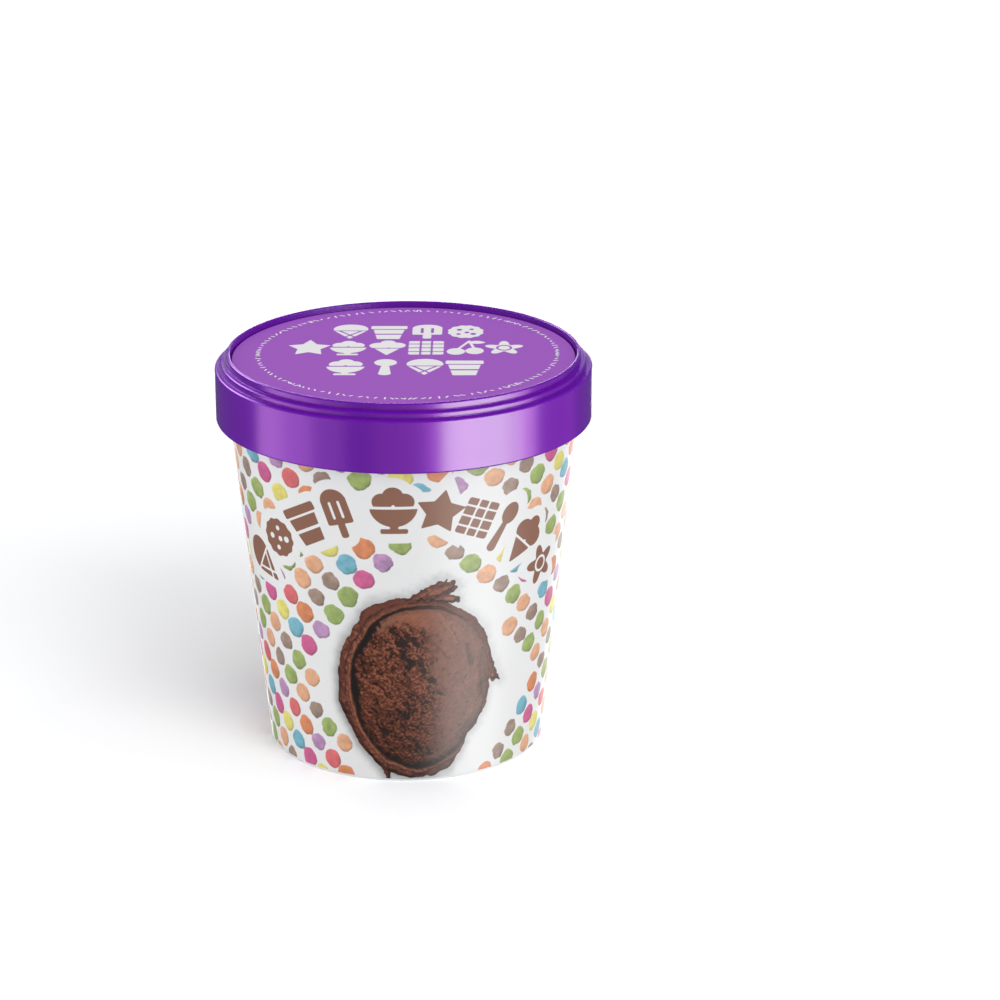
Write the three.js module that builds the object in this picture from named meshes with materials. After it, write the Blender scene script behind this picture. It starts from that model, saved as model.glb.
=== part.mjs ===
// A round 500 ml ice cream tub of paper board with a stepped plastic lid pressed on.
// Millimetres, +Z up, standing on z = 0 with its axis on the Z axis and its front towards -Y.
// The tub is shut and can't be seen into, so the cup is one solid together with its filling.
import * as THREE from 'three';
import { mergeVertices } from 'three/addons/utils/BufferGeometryUtils.js';

// Whole tub
const LID_RADIUS = 50.0;
const TUB_HEIGHT = 108.0;
const GAP = 0.3;
const SEGMENTS = 96;
const EDGE_STEPS = 3;

// Cup: a rolled cone of board, its bottom edge turned in as a hem round the recessed base
const BASE_RADIUS = 37.3;
const CUP_RADIUS_AT_SKIRT = 46.3;
const SKIRT_BOTTOM = 90.3;
const CUP_FLARE = (CUP_RADIUS_AT_SKIRT - BASE_RADIUS) / SKIRT_BOTTOM;
const HEM_WIDTH = 2.4;
const HEM_EDGE = 0.4;
const RECESS_DEPTH = 6.4;
const BRIM_TUBE = 1.5;
const BRIM_STEPS = 6;
const SEAM_STEP = 0.35;
const SEAM_RISE = THREE.MathUtils.degToRad(16);
const SEAM_ANGLE = THREE.MathUtils.degToRad(90);

// Base: a disc of the same board held by the hem
const BASE_DISC_THICKNESS = 0.6;

// Lid: skirt, two stepped ridges and a thin crest that stands round the label
const LID_WALL = 1.15;
const SKIRT_TOP = 104.35;
const SKIRT_EDGE = 0.5;
const RIDGE_RADIUS = 48.4;
const RIDGE_TOP = 106.0;
const RIDGE_EDGE = 0.4;
const CREST_RADIUS = 46.9;
const CREST_WIDTH = 0.95;
const CREST_EDGE = 0.3;
const CREST_LEAN = 0.25;
const PLATE_TOP = 105.6;
const PLATE_THICKNESS = 1.4;
const SNAP_HEIGHT = 98.6;
const SNAP_HALF = 0.8;
const SNAP_DEPTH = 0.6;

// Label: a printed disc lying in the lid's recess
const LABEL_THICKNESS = 0.5;

// Quarter round from one direction to another, as profile points about a centre.
function quarterRound(radius, height, size, fromAngle, toAngle, steps = EDGE_STEPS) {
  return Array.from({ length: steps + 1 }, (_, i) => {
    const angle = fromAngle + (toAngle - fromAngle) * (i / steps);
    return new THREE.Vector2(radius + size * Math.cos(angle), height + size * Math.sin(angle));
  });
}

// Solid of revolution about Z: the profile is listed outwards along the bottom and back at the top.
function turned(profile, segments) {
  const geometry = new THREE.LatheGeometry(profile, segments);
  geometry.rotateX(Math.PI / 2);
  geometry.deleteAttribute('normal');
  geometry.deleteAttribute('uv');
  const merged = mergeVertices(geometry, 1e-4);
  return withoutFlatFaces(merged);
}

// Drops the triangles that shrink to a line where the profile meets the axis.
function withoutFlatFaces(geometry) {
  const index = geometry.index.array;
  const kept = [];
  for (let i = 0; i < index.length; i += 3) {
    const [a, b, c] = [index[i], index[i + 1], index[i + 2]];
    if (a !== b && b !== c && c !== a) kept.push(a, b, c);
  }
  geometry.setIndex(kept);
  return geometry;
}

function cupRadius(height) {
  return BASE_RADIUS + CUP_FLARE * height;
}

// How far the board stands proud where its end laps over: a slow rise, then a step one board high.
function seamLift(angle) {
  const before = THREE.MathUtils.euclideanModulo(SEAM_ANGLE - angle, 2 * Math.PI);
  if (before > SEAM_RISE) return 0;
  return SEAM_STEP * THREE.MathUtils.smoothstep(SEAM_RISE - before, 0, SEAM_RISE * 0.8);
}

// Pushes the outer wall out along its lapped seam, from the hem to just under the brim.
function lapSeam(geometry, topHeight) {
  const position = geometry.attributes.position;
  for (let i = 0; i < position.count; i += 1) {
    const [x, y, z] = [position.getX(i), position.getY(i), position.getZ(i)];
    const radius = Math.hypot(x, y);
    if (z > topHeight || radius < cupRadius(z) - 2 * HEM_EDGE) continue;
    const scale = (radius + seamLift(Math.atan2(y, x))) / radius;
    position.setXY(i, x * scale, y * scale);
  }
  return geometry;
}

function named(name, geometry, color, roughness) {
  geometry.computeVertexNormals();
  const material = new THREE.MeshStandardMaterial({ color, roughness, metalness: 0 });
  const mesh = new THREE.Mesh(geometry, material);
  mesh.name = name;
  return mesh;
}

// Cup with hem, base recess, flared wall and rolled brim, filled up to the underside of the lid.
function cup() {
  const hemInner = BASE_RADIUS - HEM_WIDTH;
  const brimTop = SKIRT_TOP - LID_WALL - GAP;
  const brimHeight = brimTop - BRIM_TUBE;
  const wallTop = brimHeight - BRIM_TUBE * 0.8;
  const fillTop = PLATE_TOP - PLATE_THICKNESS - GAP;
  const brimRadius = cupRadius(wallTop) - BRIM_TUBE * 0.08;
  const fillRadius = brimRadius - BRIM_TUBE * 0.5;
  const profile = [
    new THREE.Vector2(0, RECESS_DEPTH),
    new THREE.Vector2(hemInner, RECESS_DEPTH),
    ...quarterRound(hemInner + HEM_EDGE, HEM_EDGE, HEM_EDGE, Math.PI, 1.5 * Math.PI, 2),
    ...quarterRound(BASE_RADIUS - HEM_EDGE, HEM_EDGE, HEM_EDGE, 1.5 * Math.PI, 2 * Math.PI, 2),
    new THREE.Vector2(cupRadius(SKIRT_BOTTOM / 2), SKIRT_BOTTOM / 2),
    new THREE.Vector2(cupRadius(SKIRT_BOTTOM), SKIRT_BOTTOM),
    new THREE.Vector2(cupRadius(wallTop), wallTop),
    ...quarterRound(brimRadius, brimHeight, BRIM_TUBE, -0.25 * Math.PI, 0.5 * Math.PI, BRIM_STEPS),
    new THREE.Vector2(fillRadius, brimTop),
    new THREE.Vector2(fillRadius, fillTop),
    new THREE.Vector2(0, fillTop),
  ];
  const seamTop = SKIRT_BOTTOM + 1;
  return named('cup', lapSeam(turned(profile, SEGMENTS), seamTop), 0xe9e7e3, 0.42);
}

function baseDisc() {
  const radius = BASE_RADIUS - HEM_WIDTH - GAP;
  const top = RECESS_DEPTH - GAP;
  const bottom = top - BASE_DISC_THICKNESS;
  const profile = [
    new THREE.Vector2(0, bottom),
    new THREE.Vector2(radius, bottom),
    new THREE.Vector2(radius, top),
    new THREE.Vector2(0, top),
  ];
  return named('base_disc', turned(profile, SEGMENTS), 0xe4e2de, 0.6);
}

// Lid: up the outside over skirt, ridge and crest, across the plate, and back down the inside.
function lid() {
  const skirtInner = LID_RADIUS - LID_WALL;
  const ridgeInner = RIDGE_RADIUS - LID_WALL;
  const plateBottom = PLATE_TOP - PLATE_THICKNESS;
  const crestInner = CREST_RADIUS - CREST_WIDTH;
  const half = Math.PI / 2;
  const profile = [
    new THREE.Vector2(0, plateBottom),
    new THREE.Vector2(ridgeInner, plateBottom),
    new THREE.Vector2(ridgeInner, SKIRT_TOP - LID_WALL),
    new THREE.Vector2(skirtInner, SKIRT_TOP - LID_WALL),
    new THREE.Vector2(skirtInner, SNAP_HEIGHT + SNAP_HALF),
    new THREE.Vector2(skirtInner - SNAP_DEPTH, SNAP_HEIGHT),
    new THREE.Vector2(skirtInner, SNAP_HEIGHT - SNAP_HALF),
    new THREE.Vector2(skirtInner, SKIRT_BOTTOM),
    ...quarterRound(LID_RADIUS - SKIRT_EDGE, SKIRT_BOTTOM + SKIRT_EDGE, SKIRT_EDGE, -half, 0, 2),
    ...quarterRound(LID_RADIUS - SKIRT_EDGE, SKIRT_TOP - SKIRT_EDGE, SKIRT_EDGE, 0, half),
    new THREE.Vector2(RIDGE_RADIUS, SKIRT_TOP),
    ...quarterRound(RIDGE_RADIUS - RIDGE_EDGE, RIDGE_TOP - RIDGE_EDGE, RIDGE_EDGE, 0, half),
    new THREE.Vector2(CREST_RADIUS, RIDGE_TOP),
    ...quarterRound(CREST_RADIUS - CREST_EDGE, TUB_HEIGHT - CREST_EDGE, CREST_EDGE, 0, half, 2),
    ...quarterRound(crestInner + CREST_EDGE, TUB_HEIGHT - CREST_EDGE, CREST_EDGE, half, Math.PI, 2),
    new THREE.Vector2(crestInner - CREST_LEAN, PLATE_TOP),
    new THREE.Vector2(0, PLATE_TOP),
  ];
  return named('lid', turned(profile, SEGMENTS), 0x5f1a99, 0.3);
}

function lidLabel() {
  const radius = CREST_RADIUS - CREST_WIDTH - CREST_LEAN - GAP;
  const bottom = PLATE_TOP + GAP;
  const top = bottom + LABEL_THICKNESS;
  const profile = [
    new THREE.Vector2(0, bottom),
    new THREE.Vector2(radius, bottom),
    new THREE.Vector2(radius, top),
    new THREE.Vector2(0, top),
  ];
  return named('lid_label', turned(profile, SEGMENTS), 0x9e62bf, 0.5);
}

const tub = new THREE.Group();
tub.add(cup(), baseDisc(), lid(), lidLabel());

export default tub;
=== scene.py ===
"""A round 500 ml ice cream tub: a printed paper board cup, shut with a stepped purple plastic lid.

The file follows the tub as it is put together: view and floor, board cup, its print and board finish,
base disc, lid, lid label, then the studio lights. Shapes are worked out in millimetres.
"""
import math

import bpy
import numpy as np
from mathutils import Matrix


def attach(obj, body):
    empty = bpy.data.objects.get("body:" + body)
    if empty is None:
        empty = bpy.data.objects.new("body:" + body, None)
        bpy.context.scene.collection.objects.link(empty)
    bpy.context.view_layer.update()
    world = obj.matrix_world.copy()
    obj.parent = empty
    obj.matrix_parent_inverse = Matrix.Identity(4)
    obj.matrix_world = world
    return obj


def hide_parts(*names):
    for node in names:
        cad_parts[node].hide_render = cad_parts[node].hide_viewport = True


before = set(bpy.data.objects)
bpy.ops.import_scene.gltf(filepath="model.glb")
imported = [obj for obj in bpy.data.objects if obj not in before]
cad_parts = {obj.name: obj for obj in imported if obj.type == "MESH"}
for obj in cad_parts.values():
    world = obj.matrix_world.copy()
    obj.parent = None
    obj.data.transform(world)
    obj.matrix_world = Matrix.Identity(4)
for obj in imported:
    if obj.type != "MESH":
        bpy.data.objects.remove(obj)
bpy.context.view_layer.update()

# The view and the floor: a long lens looks down on the tub from the front, a little to its right,
# and the tub stands on a wide matt white floor.
MM = 0.001
LENS = 118.307
CAMERA_PLACE = (25.505, -833.18, 361.71)
CAMERA_PITCH = 19.555
SENSOR_WIDTH = 36.0
FLOOR_SIDE = 12000.0
FLOOR_WHITE = (0.935, 0.945, 0.96, 1)

camera_data = bpy.data.cameras.new("front_view")
camera_data.lens = LENS
camera_data.sensor_width = SENSOR_WIDTH
camera_data.clip_start = 0.05
camera_data.clip_end = 60.0
camera = bpy.data.objects.new("front_view", camera_data)
camera.location = [c * MM for c in CAMERA_PLACE]
camera.rotation_euler = (math.radians(90 - CAMERA_PITCH), 0, 0)
bpy.context.collection.objects.link(camera)
bpy.context.scene.camera = camera
bpy.context.scene.view_settings.view_transform = "Standard"
bpy.context.scene.view_settings.look = "None"


def put_mesh(name, points, faces, smooth_faces=None):
    """A new object at the origin from (n, 3) points in millimetres and lists of corner numbers.

    The first smooth_faces faces are shaded smooth, or all of them where it isn't given.
    """
    mesh = bpy.data.meshes.new(name)
    mesh.from_pydata((np.asarray(points) * MM).tolist(), [], faces)
    mesh.validate()
    count = len(mesh.polygons)
    smooth_faces = count if smooth_faces is None else smooth_faces
    mesh.polygons.foreach_set("use_smooth", np.arange(count) < smooth_faces)
    piece = bpy.data.objects.new(name, mesh)
    bpy.context.collection.objects.link(piece)
    return piece


def new_material(name):
    """A material, its node tree and its Principled shader, ready for links."""
    material = bpy.data.materials.new(name)
    material.use_nodes = True
    return material, material.node_tree, material.node_tree.nodes["Principled BSDF"]


half_floor = FLOOR_SIDE / 2
floor_corners = [(x * half_floor, y * half_floor, 0) for x, y in ((-1, -1), (1, -1), (1, 1), (-1, 1))]
floor = put_mesh("studio_floor", floor_corners, [(0, 1, 2, 3)], smooth_faces=0)
floor_material, _, floor_shader = new_material("matt_white_floor")
floor_shader.inputs["Base Color"].default_value = FLOOR_WHITE
floor_shader.inputs["Roughness"].default_value = 0.9
floor_shader.inputs["Specular IOR Level"].default_value = 0.0
floor.data.materials.append(floor_material)
floor.visible_glossy = False
floor.visible_shadow = False

# The cup: one sheet of white board rolled into a cone, its end lapped over at the back, the bottom
# edge turned in and knurled as a hem round the recessed base and the top edge rolled out as a brim.
BASE_RADIUS = 37.3
CUP_FLARE = 9.0 / 90.3
HEM_WIDTH = 2.4
HEM_EDGE = 0.4
RECESS_DEPTH = 6.4
KNURL_LOW, KNURL_HIGH = 1.0, 5.0
KNURL_DEPTH = 0.12
KNURL_RIBS = 72
KNURL_MARGIN = 0.1
WALL_BOTTOM = HEM_EDGE + 0.3
WALL_TOP = 100.2
BRIM_TUBE = 1.5
BRIM_TUCK = 0.08
BRIM_HEIGHT = 101.4
FILL_TOP = 103.9
SEAM_STEP = 0.35
SEAM_RISE = 16.0
SEAM_SLOPE = 0.8
SEAM_TOP = 91.3
SEAM_EDGE = 0.03
WALL_COLUMNS = 505
WALL_ROWS = 162


def cup_radius(height):
    """Radius of the cone's outside, in proportion to the height."""
    return BASE_RADIUS + CUP_FLARE * height


def ease(value, low, high):
    """Smoothstep: 0 below low, 1 above high, and 3t^2 - 2t^3 between."""
    t = np.clip((value - low) / (high - low), 0, 1)
    return t * t * (3 - 2 * t)


def softened(corners, steps=6, shoulder=0.05):
    """Profile points through (radius, height, round) corners, each turned into an arc.

    The arc's centre lies on the corner's bisector, one round from both sides. One more point just
    outside each end of the arc keeps the flat stretch beside it flat when it is shaded.
    """
    outline = [np.array(corners[0][:2], float)]
    for before, corner, after in zip(corners, corners[1:], corners[2:]):
        here = np.array(corner[:2], float)
        back = np.array(before[:2], float) - here
        ahead = np.array(after[:2], float) - here
        back /= np.linalg.norm(back)
        ahead /= np.linalg.norm(ahead)
        half = 0.5 * math.acos(float(np.clip(back @ ahead, -1, 1)))
        if corner[2] == 0 or half > 1.56:
            outline.append(here)
            continue
        reach = corner[2] / math.tan(half)
        middle = here + (back + ahead) / np.linalg.norm(back + ahead) * corner[2] / math.sin(half)
        start = here + back * reach - middle
        end = here + ahead * reach - middle
        turn = math.atan2(start[0] * end[1] - start[1] * end[0], float(start @ end))
        outline.append(here + back * (reach + shoulder))
        for step in range(steps + 1):
            angle = turn * step / steps
            cos, sin = math.cos(angle), math.sin(angle)
            turned_start = [cos * start[0] - sin * start[1], sin * start[0] + cos * start[1]]
            outline.append(middle + np.array(turned_start))
        outline.append(here + ahead * (reach + shoulder))
    outline.append(np.array(corners[-1][:2], float))
    return np.array(outline)


def turned(name, radius, height, angles):
    """Surface of revolution: ring i has the points (r sin a, -r cos a, z) for every angle a in degrees.

    Rings are joined by quads all the way round, and a ring on the axis is one point with a fan.
    Angle 0 is the front and the profile runs outwards below and inwards above, so faces point out.
    """
    angle = np.radians(angles)
    radius = np.asarray(radius, float)
    rings = radius if radius.ndim == 2 else np.repeat(radius[:, None], len(angle), 1)
    inner, level = rings[1:-1], np.asarray(height, float)[1:-1]
    grid = np.stack(
        [inner * np.sin(angle), -inner * np.cos(angle), np.repeat(level[:, None], len(angle), 1)], -1
    )
    count, around = inner.shape
    number = np.arange(count * around).reshape(count, around)
    beside = np.roll(number, -1, 1)
    faces = np.stack([number[:-1], beside[:-1], beside[1:], number[1:]], -1).reshape(-1, 4).tolist()
    low_pole = count * around
    faces += [(int(b), int(a), low_pole) for a, b in zip(number[0], beside[0])]
    faces += [(int(a), int(b), low_pole + 1) for a, b in zip(number[-1], beside[-1])]
    poles = [[0, 0, height[0]], [0, 0, height[-1]]]
    return put_mesh(name, np.concatenate([grid.reshape(-1, 3), poles]), faces)


hem_inner = BASE_RADIUS - HEM_WIDTH
hem = softened(
    [
        (0, RECESS_DEPTH, 0),
        (hem_inner, RECESS_DEPTH, 0.15),
        (hem_inner, KNURL_HIGH, 0),
        (hem_inner, (KNURL_LOW + KNURL_HIGH) / 2, 0),
        (hem_inner, KNURL_LOW, 0),
        (hem_inner, 0, HEM_EDGE),
        (BASE_RADIUS, 0, HEM_EDGE),
        (cup_radius(WALL_BOTTOM), WALL_BOTTOM, 0),
    ],
    steps=3,
)
wall_heights = np.linspace(WALL_BOTTOM, SEAM_TOP, WALL_ROWS)
brim_angles = np.radians(np.linspace(-45, 90, 7))
brim_radius = cup_radius(WALL_TOP) - BRIM_TUBE * BRIM_TUCK
brim = np.stack(
    [brim_radius + BRIM_TUBE * np.cos(brim_angles), BRIM_HEIGHT + BRIM_TUBE * np.sin(brim_angles)], -1
)
fill_radius = brim_radius - BRIM_TUBE / 2
profile = np.concatenate(
    [
        hem[:-1],
        np.stack([cup_radius(wall_heights), wall_heights], -1),
        [(cup_radius(WALL_TOP), WALL_TOP)],
        brim,
        [(fill_radius, BRIM_HEIGHT + BRIM_TUBE), (fill_radius, FILL_TOP), (0, FILL_TOP)],
    ]
)
columns = np.linspace(-180 + SEAM_EDGE, 180 - SEAM_EDGE, WALL_COLUMNS)
lap = SEAM_STEP * ease(SEAM_RISE - (180 - columns), 0, SEAM_RISE * SEAM_SLOPE)
outside = (profile[:, 1] <= SEAM_TOP) & (profile[:, 0] > BASE_RADIUS - 2 * HEM_EDGE)
in_hem = (profile[:, 0] > 1) & (profile[:, 0] < hem_inner + 0.01)
in_knurl = (profile[:, 1] > KNURL_LOW - KNURL_MARGIN) & (profile[:, 1] < KNURL_HIGH - KNURL_MARGIN)
ribs = KNURL_DEPTH * np.cos(KNURL_RIBS * np.radians(columns))
rings = profile[:, :1] + outside[:, None] * lap + (in_hem & in_knurl)[:, None] * ribs
cup = turned("board_cup", rings, profile[:, 1], columns)

# The print: one sheet of artwork laid round the cup, with candy dots all over, an arch of small brown
# treats and a photographic scoop of chocolate at the front, and two small fruit scoops at the sides.
# Its flat places run to the right from the front, in millimetres at the cup's mean radius, and up.
PRINT_RADIUS = 41.8
FLAT = math.radians(PRINT_RADIUS)
BARE = 9.0
INK_PROUD = 0.012
INK_BACK = -0.05
INK_SUNK = -0.02
FILM_EDGE = 3.5

DOT_START = (9.487, 4.390)
DOT_STEPS = ((4.415, -4.462), (-3.929, -5.397))
DOT_SPREAD = 0.000192
DOT_SPREAD_LEVEL = 31.4
DOT_SCATTER = 0.5
DOT_LEAST, DOT_RANGE = 0.96, 0.08
DOT_WAVES = ((2, 0.50), (3, 0.45), (5, 0.40), (8, 0.25))
DOT_LIGHT = (0.6, 0.8)
DOT_ROWS = (
    ("peach", "cocoa", "green"),
    ("peach", "cocoa", "green"),
    ("red", "orange", "purple"),
    ("yellow", "blue", "magenta"),
)
# Each candy's screen colour, radius, and how ragged its edge is.
CANDIES = {
    "peach": ((216, 163, 127), 2.65, 0.06),
    "cocoa": ((154, 131, 118), 2.42, 0.10),
    "green": ((150, 168, 99), 2.76, 0.09),
    "red": ((209, 104, 107), 2.70, 0.04),
    "orange": ((206, 130, 88), 2.82, 0.06),
    "purple": ((178, 136, 176), 2.48, 0.10),
    "yellow": ((216, 206, 112), 2.76, 0.05),
    "blue": ((112, 169, 186), 2.76, 0.08),
    "magenta": ((198, 92, 140), 2.78, 0.05),
}


def srgb(red, green, blue):
    """Linear colour of a screen colour from 0 to 255."""
    screen = np.array([red, green, blue]) / 255
    return np.where(screen <= 0.04045, screen / 12.92, ((screen + 0.055) / 1.055) ** 2.4)


def blend(low, high, amount):
    """Colours from low to high by an amount from 0 to 1 at each point."""
    return low + (high - low) * amount[..., None]


def hump(value, middle, wide):
    """A soft bump 1 high: exp(-((value - middle) / wide)^2)."""
    return np.exp(-(((value - middle) / wide) ** 2))


def cloud(x, y, size, seed, octaves=4, gain=0.5):
    """Value noise, about -1 to 1: random heights on a square lattice of the given size, joined by
    smoothsteps, summed over octaves that are each half as large and gain times as high."""
    heights = np.random.default_rng(seed).random((256, 256)) * 2 - 1
    total, weight, most = 0.0, 1.0, 0.0
    for octave in range(octaves):
        a, b = x / size + 17.3 * octave, y / size + 9.1 * octave
        i, j = np.floor(a).astype(int), np.floor(b).astype(int)
        s, t = ease(a - i, 0, 1), ease(b - j, 0, 1)
        i, j, next_i, next_j = i % 256, j % 256, (i + 1) % 256, (j + 1) % 256
        low = heights[i, j] * (1 - s) + heights[next_i, j] * s
        high = heights[i, next_j] * (1 - s) + heights[next_i, next_j] * s
        total = total + weight * (low * (1 - t) + high * t)
        most += weight
        weight, size = weight * gain, size / 2
    return total / most * 1.6


def candy_dots(x, z):
    """Distance outside the nearest dot's edge, its shaded colour, and the place of its centre.

    The dots stand on a slanting lattice: a place is turned into steps along the lattice's two
    directions and rounded to whole steps. An edge is a circle with four random waves round it.
    """
    to_steps = np.linalg.inv(np.array(DOT_STEPS))
    spread = DOT_SPREAD * (DOT_SPREAD_LEVEL - z) * x
    a = DOT_START[0] + to_steps[0, 0] * x + to_steps[0, 1] * z + spread
    b = DOT_START[1] + to_steps[1, 0] * x + to_steps[1, 1] * z
    i, j = np.rint(a).astype(int), np.rint(b).astype(int)
    luck = np.random.default_rng(5).random((64, 64, 7))[i % 64, j % 64]
    dx = (a - i) * DOT_STEPS[0][0] + (b - j) * DOT_STEPS[0][1] + DOT_SCATTER * (luck[..., 0] - 0.5)
    dz = (a - i) * DOT_STEPS[1][0] + (b - j) * DOT_STEPS[1][1] + DOT_SCATTER * (luck[..., 1] - 0.5)
    names = list(CANDIES)
    which = np.array([[names.index(name) for name in row] for row in DOT_ROWS])[j % 4, i % 3]
    colour = np.array([srgb(*CANDIES[name][0]) for name in names])[which]
    rough = np.array([CANDIES[name][2] for name in names])[which]
    bearing = np.arctan2(dz, dx)
    wobble = sum(
        high * np.sin(count * bearing + 2 * np.pi * luck[..., 3 + n])
        for n, (count, high) in enumerate(DOT_WAVES)
    )
    reach = np.array([CANDIES[name][1] for name in names])[which]
    reach = reach * (DOT_LEAST + DOT_RANGE * luck[..., 2])
    reach = reach * (1 + rough * wobble)
    away = np.hypot(dx, dz)
    light = (dz * DOT_LIGHT[1] - dx * DOT_LIGHT[0]) / reach
    shade = 1.03 + 0.10 * light - 0.38 * ease(away / reach, 0.72, 1.0) * ease(-light, -0.1, 0.9)
    shade += (0.06 + 1.5 * rough) * cloud(x, z, 1.5, 40, 3, 0.6)
    return away - reach, colour * shade[..., None], x - dx, z - dz


def disc_shape(s, t, s0, t0, radius):
    """Distance outside a circle."""
    return np.hypot(s - s0, t - t0) - radius


def box_shape(s, t, s0, t0, half_s, half_t, corner=0.25):
    """Distance outside a box with rounded corners."""
    p, q = np.abs(s - s0) - half_s + corner, np.abs(t - t0) - half_t + corner
    return np.hypot(np.maximum(p, 0), np.maximum(q, 0)) + np.minimum(np.maximum(p, q), 0) - corner


def stroke(s, t, start, end, wide, narrow):
    """Distance outside a tapered stroke: from the line between two points, less its half width."""
    ds, dt = end[0] - start[0], end[1] - start[1]
    along = np.clip(((s - start[0]) * ds + (t - start[1]) * dt) / (ds * ds + dt * dt), 0, 1)
    aside = np.hypot(s - start[0] - along * ds, t - start[1] - along * dt)
    return aside - (wide + (narrow - wide) * along)


def wedge(s, t, top, low, wide, narrow):
    """Distance outside an upright trapezoid with half widths wide above and narrow below."""
    slope = (wide - narrow) / (top - low)
    side = (np.abs(s) - narrow - slope * (t - low)) / math.hypot(1, slope)
    return np.maximum.reduce([side, t - top, low - t])


def cornet(s, t):
    """A hatched wedge under a circle that is cut off level."""
    shell = wedge(s, t, 0.4, -5.0, 3.1, 0.15)
    hatching = [np.abs(side * 0.72 * s + 0.5 * t + 1.3) - 0.2 for side in (-1, 1)]
    scoop = np.maximum(disc_shape(s, t, 0, 1.9, 3.4), 0.85 - t)
    return np.minimum(np.maximum(shell, -np.minimum(*hatching)), scoop)


def double_cornet(s, t):
    """A plain wedge under two circles side by side and a small one on top."""
    balls = ((-1.5, 1.5, 2.15), (1.65, 1.7, 2.05), (0.1, 3.8, 1.5))
    scoops = np.minimum.reduce([disc_shape(s, t, *ball) for ball in balls])
    return np.minimum(wedge(s, t, -0.6, -5.0, 2.5, 0.15), np.maximum(scoops, -0.15 - t))


def ice_pop(s, t):
    """A box with a round top and two grooves, on a short stick."""
    bar = np.minimum(box_shape(s, t, 0, 0.6, 2.6, 2.8, 0.4), disc_shape(s, t, 0, 2.6, 2.6))
    grooves = [stroke(s, t, (side * 0.9, -0.8), (side * 0.9, 2.4), 0.26, 0.26) for side in (-1, 1)]
    return np.minimum(np.maximum(bar, -np.minimum(*grooves)), box_shape(s, t, 0, -3.6, 0.75, 1.5, 0.5))


def little_tub(s, t):
    """A wedge with a bare stripe, under a flat box."""
    cup_side = np.maximum(wedge(s, t, 1.2, -4.6, 3.5, 2.5), 0.32 - np.abs(t + 1.6))
    return np.minimum(cup_side, box_shape(s, t, 0, 2.6, 4.1, 0.95, 0.4))


def sundae(s, t):
    """Half a circle on a stem and foot, with three circles heaped in it."""
    bowl = np.maximum(disc_shape(s, t, 0, 0.8, 4.7), t - 0.1)
    foot = np.minimum(box_shape(s, t, 0, -4.0, 0.8, 1.0, 0.2), box_shape(s, t, 0, -4.9, 2.7, 0.55, 0.3))
    scoops = [disc_shape(s, t, s0, t0, 2.0) for s0, t0 in ((-2.1, 1.7), (2.1, 1.7), (0, 3.1))]
    return np.minimum.reduce([bowl, foot, np.maximum(np.minimum.reduce(scoops), 0.7 - t)])


def biscuit(s, t):
    """A circle with twelve waves and five bare drops."""
    cake = disc_shape(s, t, 0, 0, 4.2) + 0.14 * np.cos(12 * np.arctan2(t, s))
    drops = ((-1.5, 1.3, 0.65), (1.4, 1.6, 0.55), (0.3, -0.5, 0.6), (-1.7, -1.6, 0.55), (1.8, -1.5, 0.7))
    return np.maximum(cake, -np.minimum.reduce([disc_shape(s, t, *drop) for drop in drops]))


def star(s, t, tip=4.6, notch=2.5):
    """Five points: the bearing is folded into one half point, whose side is a straight line."""
    fold = (np.arctan2(s, t) + np.pi / 5) % (2 * np.pi / 5) - np.pi / 5
    p, q = np.hypot(s, t) * np.cos(fold), np.abs(np.hypot(s, t) * np.sin(fold))
    rise, back = notch * math.sin(np.pi / 5), tip - notch * math.cos(np.pi / 5)
    return ((p - tip) * rise + q * back) / math.hypot(rise, back) - 0.2


def wafer(s, t):
    """A box cut by grooves at even steps both ways, inside a whole border."""
    grooves = [np.abs((place + 1.15) % 2.3 - 1.15) - 0.22 for place in (s - 1.15, t)]
    grooves = [np.where(np.abs(place) > 3.0, 1.0, groove) for place, groove in zip((s, t), grooves)]
    return np.maximum(box_shape(s, t, 0, 0, 3.6, 4.1, 0.5), -np.minimum(*grooves))


def spoon(s, t):
    """An oval above a handle that widens downwards."""
    bowl = (np.hypot(s / 1.7, (t - 2.9) / 2.3) - 1) * 1.7
    return np.minimum(bowl, stroke(s, t, (0, 1.2), (0, -4.5), 0.55, 0.95))


def blossom(s, t):
    """Five petals, a cosine of the bearing, with a bare ring inside."""
    away = np.hypot(s, t)
    petals = 0.75 * (away - 3.3 - 1.1 * np.cos(5 * np.arctan2(s, t)))
    return np.maximum(petals, 0.26 - np.abs(away - 1.55))


def cherries(s, t):
    """Two circles on stalks that meet at a leaf, where two circles overlap."""
    fruit = np.minimum(disc_shape(s, t, -2.1, -2.4, 2.1), disc_shape(s, t, 2.2, -2.0, 2.1))
    stalks = [stroke(s, t, start, (0.9, 4.4), 0.34, 0.34) for start in ((-1.7, -1.0), (2.1, -0.6))]
    leaf = np.maximum(disc_shape(s, t, 2.6, 2.2, 2.4), disc_shape(s, t, 2.8, 5.0, 2.4))
    return np.minimum.reduce([fruit, *stalks, leaf])


def treats(x, z, places):
    """Distance outside the nearest of the treats, each given by its shape, centre, lean, and its
    scale across and along."""
    distance = np.full(x.shape, BARE)
    for shape, (middle_x, middle_z), lean, (wide, high) in places:
        cos, sin = math.cos(math.radians(lean)), math.sin(math.radians(lean))
        s = ((x - middle_x) * cos - (z - middle_z) * sin) / wide
        t = ((x - middle_x) * sin + (z - middle_z) * cos) / high
        distance = np.minimum(distance, shape(s, t) * wide)
    return distance


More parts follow.
